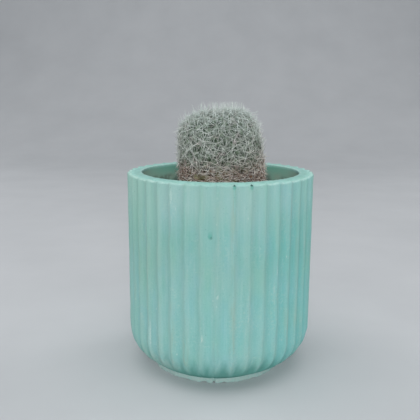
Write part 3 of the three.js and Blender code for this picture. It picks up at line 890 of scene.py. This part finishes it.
def make_stem(places):
    """The stem's skin, raised into a rounded tubercle under each areole."""
    fine = stem_outline(600)
    length = np.concatenate([[0], np.cumsum(np.linalg.norm(np.diff(fine, axis=0), axis=1))])
    even = np.linspace(0.25, length[-1] - 0.25, STEM_ROWS)
    outline = np.stack([np.interp(even, length, fine[:, i]) for i in (0, 1)], -1)
    r, z = round_grid(outline, STEM_COLUMNS)
    run = np.gradient(outline, axis=0)
    out, up = round_grid(unit(np.stack([-run[:, 1], run[:, 0]], -1)), STEM_COLUMNS)
    angle = math.tau * np.arange(STEM_COLUMNS) / STEM_COLUMNS
    base = leaned(np.stack([r * np.cos(angle) + apex_shift(r, z), r * np.sin(angle), z], -1).reshape(-1, 3))
    outwards = np.stack([out * np.cos(angle), out * np.sin(angle), up], -1).reshape(-1, 3)

    away = np.full(len(base), np.inf)
    for place in places:
        away = np.minimum(away, np.linalg.norm(base - place, axis=1))
    tip = 1 - smooth(away, 0.2, 0.6 * AREOLE_SPACING)
    height = TUBERCLE_HEIGHT * tip * smooth(base[:, 2], SOIL_LINE, SOIL_LINE + 3)
    height += 0.1 * wave_noise(*base.T, 3, 21, 2) * (base[:, 2] > SOIL_LINE)
    points = base + height[:, None] * outwards
    rings = points.reshape(STEM_ROWS, STEM_COLUMNS, 3)
    points = np.concatenate([points, [rings[0].mean(axis=0), rings[-1].mean(axis=0)]])
    tip = np.concatenate([tip, [0.5, 0.0]])
    quads = grid_faces(STEM_ROWS, STEM_COLUMNS)[:, ::-1]
    attributes = {"tip": tip, "bare": in_spot(points, BARE_SPOT)}
    stem = mesh_object("cactus_stem", points, quads, stem_material(), attributes)
    close_ends(stem, STEM_ROWS, STEM_COLUMNS)
    return stem


class Spines(NamedTuple):
    """Any number of spines, with a row in each array for each spine."""

    roots: np.ndarray
    directions: np.ndarray
    bends: np.ndarray
    lengths: np.ndarray
    radii: np.ndarray
    tones: np.ndarray

    def where(self, chosen):
        return Spines(*(values[chosen] for values in self))


def tangents(normals):
    """Two directions along the skin at each areole: towards the crown, and sideways."""
    side = unit(np.stack([-normals[:, 1], normals[:, 0], np.zeros(len(normals))], -1))
    return np.cross(normals, side), side


def spine_set(kind, places, normals):
    """One kind of spine on every areole, fanned out round it."""
    draw = np.random.default_rng(kind.seed)
    crownward, sideways = tangents(normals)
    count = len(places) * kind.count
    owner = np.repeat(np.arange(len(places)), kind.count)
    place, n, c, s = places[owner], normals[owner], crownward[owner], sideways[owner]
    turn = math.tau * (np.tile(np.arange(kind.count), len(places)) / kind.count)
    turn += np.repeat(draw.uniform(0, math.tau, len(places)), kind.count)
    turn += draw.normal(0, 0.9 / kind.count * math.pi, count)
    tilt = np.radians(draw.uniform(*kind.lean, count))
    ring = c * np.cos(turn)[:, None] + s * np.sin(turn)[:, None]
    directions = n * np.cos(tilt)[:, None] + ring * np.sin(tilt)[:, None]
    directions[:, 2] = directions[:, 2] * kind.steep + kind.lift
    directions = unit(directions)
    young = smooth(place[:, 2], STEM_TOP - 6, STEM_TOP)
    lengths = draw.uniform(*kind.length, count) * (1 - 0.1 * young)
    lengths *= 1 + 0.16 * wave_noise(*place.T, 6, 25, 2)
    roots = place + n * (TUBERCLE_HEIGHT - draw.uniform(-0.3, 0.4, (count, 1)))
    roots += ring * draw.uniform(*kind.spread, (count, 1))
    for along in (c, s):
        roots += along * draw.normal(0, ROOT_SCATTER, (count, 1))
    bends = n * draw.normal(-0.03, 0.06, count)[:, None] + draw.normal(0, 0.07, (count, 3))
    radii = draw.uniform(*kind.radius, count)
    x = place[:, 0]
    # Painted shade: spines on the plant's left and right sides are toned darker.
    darker = kind.side_shade[0] * smooth(-x, *SIDES_FROM) + kind.side_shade[1] * smooth(x, *SIDES_FROM)
    tones = np.clip(draw.normal(kind.tone, kind.vary, count) - darker, 0, 1)
    return Spines(roots, directions, bends, lengths, radii, tones)


def grown_spines(places, normals):
    """Every kind of spine on the areoles where it grows, sparser and shorter at the sides."""
    x, level = places[:, 0], places[:, 2]
    crown = level > SHOULDER_START + 4
    upper = level > SHOULDER_START - 4
    low = (level < FLARE_TOP) | ((x < FLARE_LEFT) & (level < FLARE_TOP_LEFT))
    matted = level < MATTED_TOP + random.normal(0, MATTED_EDGE, len(places))

    def grown(kind, chosen):
        return spine_set(kind, places[chosen], normals[chosen])

    radials = grown(RADIALS, ~matted)
    gaps = 0.35 * smooth(np.abs(radials.roots[:, 0]), *SIDES_FROM)
    radials = radials.where(np.random.default_rng(39).uniform(0, 1, len(gaps)) > gaps)
    around = [radials, grown(INNER, ~matted), grown(NET, ~matted), grown(SIDE, ~crown), grown(FLARE, low)]
    upright = [grown(HAIRS, upper), grown(SPIKES, crown)]
    for spines in upright:
        x = spines.roots[:, 0]
        spines.lengths[:] *= 1 - 0.38 * smooth(x, 7, 15) - 0.25 * smooth(-x, 10, 16)
    sets = [*around, *upright, grown(MATTED, matted)]
    return Spines(*(np.concatenate(values) for values in zip(*sets)))


def kept_inside(spines, top):
    """Shortens the spines that would pass the part's top or reach down into the potting mix."""
    height, rise = spines.roots[:, 2], (spines.directions + spines.bends)[:, 2]
    ceiling = np.where(rise > 1e-3, (top - height) / np.maximum(rise, 1e-3), np.inf)
    floor = np.where(rise < -1e-3, (SOIL_TOP + 1.3 - height) / np.minimum(rise, -1e-3), np.inf)
    lengths = np.minimum(spines.lengths, np.minimum(ceiling, floor))
    return spines._replace(lengths=lengths).where(lengths > SHORTEST_SPINE)


def spines_mesh(name, spines, material):
    """Tapered three-sided spines, each a closed needle that bends a little along its length."""
    roots, directions, bends, lengths, radii, tones = spines
    count = len(roots)
    helper = np.where(np.abs(directions[:, 2:3]) < 0.9, [[0, 0, 1.0]], [[1.0, 0, 0]])
    a = unit(np.cross(directions, helper))
    b = np.cross(directions, a)
    per = 3 * len(SPINE_RINGS) + 1
    points = np.empty((count, per, 3))
    for k, t in enumerate(SPINE_RINGS):
        centre = roots + lengths[:, None] * (directions * t + bends * t * t)
        for corner in range(3):
            turn = math.tau * corner / 3
            ring = a * math.cos(turn) + b * math.sin(turn)
            points[:, 3 * k + corner] = centre + ring * (radii * (1 - 0.6 * t))[:, None]
    points[:, -1] = roots + lengths[:, None] * (directions + bends)
    along = np.tile([*np.repeat(SPINE_RINGS, 3), 1.0], count)
    faces = [(0, 2, 1)]
    for k in range(len(SPINE_RINGS) - 1):
        for corner in range(3):
            low, high = 3 * k + corner, 3 * k + (corner + 1) % 3
            faces += [(low, high, high + 3), (low, high + 3, low + 3)]
    last = 3 * (len(SPINE_RINGS) - 1)
    faces += [(last + corner, last + (corner + 1) % 3, per - 1) for corner in range(3)]
    faces = np.array(faces)[None] + (np.arange(count) * per)[:, None, None]
    rusty = in_spot(roots, RUSTY_SPOT)
    attributes = {"tone": np.repeat(tones, per), "along": along, "rusty": np.repeat(rusty, per)}
    return mesh_object(name, points.reshape(-1, 3), faces.reshape(-1, 3), material, attributes)


def make_spines(places, normals):
    """All spines, in pieces by height. A spot near the mix has none, and another's are rusty."""
    spines = kept_inside(grown_spines(places, normals), cad_high[2] / MM - 0.1)
    middles = spines.roots + spines.directions * spines.lengths[:, None] / 2
    spines = spines.where(in_spot(middles, BARE_SPOT) < 0.72)
    rusty = in_spot(spines.roots, RUSTY_SPOT)
    spines = spines._replace(tones=np.clip(spines.tones - 0.36 * rusty, 0, 1))
    height = spines.roots[:, 2]
    material = spine_material()
    return [spines_mesh(name, spines.where((height >= low) & (height < high)), material)
            for name, low, high in SPINE_PIECES]


def blobs_mesh(name, centres, sizes, seed, roughness, material, tones=None):
    """Lumpy grains or tufts, one at each centre, with a size along each axis and a random turn."""
    draw = np.random.default_rng(seed)
    shell = bmesh.new()
    bmesh.ops.create_icosphere(shell, subdivisions=1, radius=1.0)
    ball = np.array([vertex.co[:] for vertex in shell.verts])
    faces = np.array([[vertex.index for vertex in face.verts] for face in shell.faces])
    shell.free()
    count = len(centres)
    lumps = 1 + roughness * draw.normal(size=(count, len(ball), 1))
    shapes = ball[None] * lumps * sizes[:, None, :]
    turns = unit(draw.normal(size=(count, 4)))
    w, v = turns[:, None, :1], turns[:, None, 1:]
    v = np.broadcast_to(v, shapes.shape)
    shapes = shapes + 2 * np.cross(v, np.cross(v, shapes) + w * shapes)
    points = (shapes + centres[:, None, :]).reshape(-1, 3)
    every = (faces[None] + (np.arange(count) * len(ball))[:, None, None]).reshape(-1, 3)
    attributes = {} if tones is None else {"tone": np.repeat(tones, len(ball))}
    return mesh_object(name, points, every, material, attributes)


def make_wool(places, normals):
    """A tuft of felt in each areole, larger at the crown."""
    centres = places + normals * (TUBERCLE_HEIGHT - 0.05)
    young = smooth(places[:, 2], STEM_TOP - 5, STEM_TOP)
    sizes = (0.6 + 0.5 * young)[:, None] * random.uniform(0.8, 1.15, (len(places), 3))
    return blobs_mesh("cactus_wool", centres, sizes, 41, 0.13, wool_material())


# Potting mix


def soil_height(x, y):
    broad = np.sin(0.42 * x + 1.1) * np.cos(0.37 * y) + 0.6 * np.sin(0.9 * x - 0.8 * y)
    return SOIL_TOP + SOIL_RELIEF * broad


def make_soil():
    """The mix down to the pot's floor, with a crumbly top and a plain socket for the stem."""
    angle = math.tau * np.arange(SOIL_COLUMNS) / SOIL_COLUMNS
    socket = stem_outline(24)
    socket = socket[socket[:, 1] < SOIL_LINE]
    edge, lip = INNER_RADIUS - GAP, socket[0, 0] + GAP
    section = [(0.6, INNER_FLOOR + GAP), (15.0, INNER_FLOOR + GAP)]
    section += arc(BELLY_CENTRE_R, BELLY_CENTRE_Z, INNER_CORNER - GAP, -math.pi / 2, 0, 6)
    section += [(edge, z) for z in np.linspace(BELLY_CENTRE_Z + 20, SOIL_TOP - 1.5, 4)]
    top_from = len(section)
    section += [(r, SOIL_TOP) for r in np.linspace(edge, lip, SOIL_RINGS)]
    section += [(max(r * (1 + GAP / STEM_RADIUS), 0.6), z - GAP) for r, z in socket[1:]]
    section = np.array(section)
    r, z = round_grid(section, SOIL_COLUMNS)
    x, y = r * np.cos(angle), r * np.sin(angle)
    row = np.arange(len(section))[:, None]
    on_top = (row >= top_from) & (row < top_from + SOIL_RINGS)
    crumbs = 0.45 * wave_noise(x, y, z * 0, 4.2, 51) + 0.28 * wave_noise(x, y, z * 0, 1.6, 52, 2)
    edge_fade = smooth(INNER_RADIUS - r, 0.3, 2.0) * smooth(r - lip, -0.1, 1.5)
    z = np.where(on_top, soil_height(x, y) + crumbs * edge_fade, z)
    spare = [(0, 0, section[0, 1]), (0, 0, section[-1, 1])]
    points = np.concatenate([np.stack([x, y, z], -1).reshape(-1, 3), spare])
    soil = mesh_object("soil_mix", points, grid_faces(len(section), SOIL_COLUMNS), mix_material())
    close_ends(soil, len(section), SOIL_COLUMNS)
    return soil


def make_grit():
    """Bark, grit and perlite lying half sunk in the top of the mix."""
    r = np.sqrt(random.uniform(GRIT_FROM**2, (INNER_RADIUS - 1.4) ** 2, GRIT_COUNT))
    turn = random.uniform(0, math.tau, GRIT_COUNT)
    x, y = r * np.cos(turn), r * np.sin(turn)
    size = np.clip(random.lognormal(-0.55, 0.38, GRIT_COUNT), 0.28, 1.25)
    centres = np.stack([x, y, soil_height(x, y) + 0.15 * size], -1)
    sizes = size[:, None] * random.uniform([0.8, 0.7, 0.45], [1.2, 1.0, 0.8], (GRIT_COUNT, 3))
    tones = random.uniform(0, 1, GRIT_COUNT)
    return blobs_mesh("soil_grit", centres, sizes, 61, 0.12, grit_material(), tones)


# Studio


def make_stage():
    """A pale sweep: the floor, which curves up into a wall far behind."""
    width, front, bend, radius, top = 3000, -1500, 900, 700, 2400
    section = [(y, 0.0) for y in np.linspace(front, bend, 12)]
    for a in np.linspace(0, math.pi / 2, 17)[1:]:
        section.append((bend + radius * math.sin(a), radius * (1 - math.cos(a))))
    section += [(bend + radius, z) for z in np.linspace(radius, top, 6)[1:]]
    across = np.linspace(-width, width, 24)
    points = [(x, y, z) for y, z in section for x in across]
    corner = np.arange(len(section) - 1)[:, None] * len(across) + np.arange(len(across) - 1)
    faces = np.stack([corner, corner + 1, corner + len(across) + 1, corner + len(across)], -1).reshape(-1, 4)
    mesh_object("studio_sweep", points, faces, floor_material())


def make_lights():
    """Large soft lights above, in front and on both sides behind, in a softly lit room."""
    for name, place, size, power in LIGHTS:
        data = bpy.data.lights.new(name, "AREA")
        data.shape = "DISK"
        data.size = size
        data.energy = power
        light = add_object(name, data)
        light.location = Vector(place)
        light.rotation_euler = (Vector(MIDDLE) - Vector(place)).to_track_quat("-Z", "Y").to_euler()
    world = bpy.data.worlds.new("soft_room")
    world.use_nodes = True
    background = world.node_tree.nodes["Background"]
    background.inputs["Color"].default_value = ROOM_COLOUR
    background.inputs["Strength"].default_value = ROOM_STRENGTH
    bpy.context.scene.world = world


def make_camera():
    """Where the photograph was taken from, worked out from the rim, the flutes and the foot."""
    data = bpy.data.cameras.new("camera")
    data.sensor_width = SENSOR_WIDTH
    data.lens = FOCAL_PIXELS / PHOTO_WIDTH * SENSOR_WIDTH
    data.clip_start = 0.01
    camera = add_object("camera", data)
    pose = Matrix.Translation(CAMERA_PLACE * MM)
    for angle, axis in ((-CAMERA_YAW, "Z"), (math.pi / 2 - CAMERA_PITCH, "X"), (CAMERA_ROLL, "Z")):
        pose @= Matrix.Rotation(angle, 4, axis)
    camera.matrix_world = pose
    bpy.context.scene.camera = camera


def install(piece, node):
    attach(piece, "root")
    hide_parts(node)


make_camera()
make_stage()
make_lights()
areoles, areole_normals = areole_spiral()
above_mix = areoles[:, 2] > SOIL_LINE + 0.5
seen = areoles[above_mix], areole_normals[above_mix]
install(make_pot(), "pot")
install(make_soil(), "soil")
install(make_grit(), "soil")
install(make_stem(areoles), "cactus")
install(make_wool(*seen), "cactus")
for spines in make_spines(*seen):
    install(spines, "cactus")
bpy.context.scene.view_settings.view_transform = "Standard"
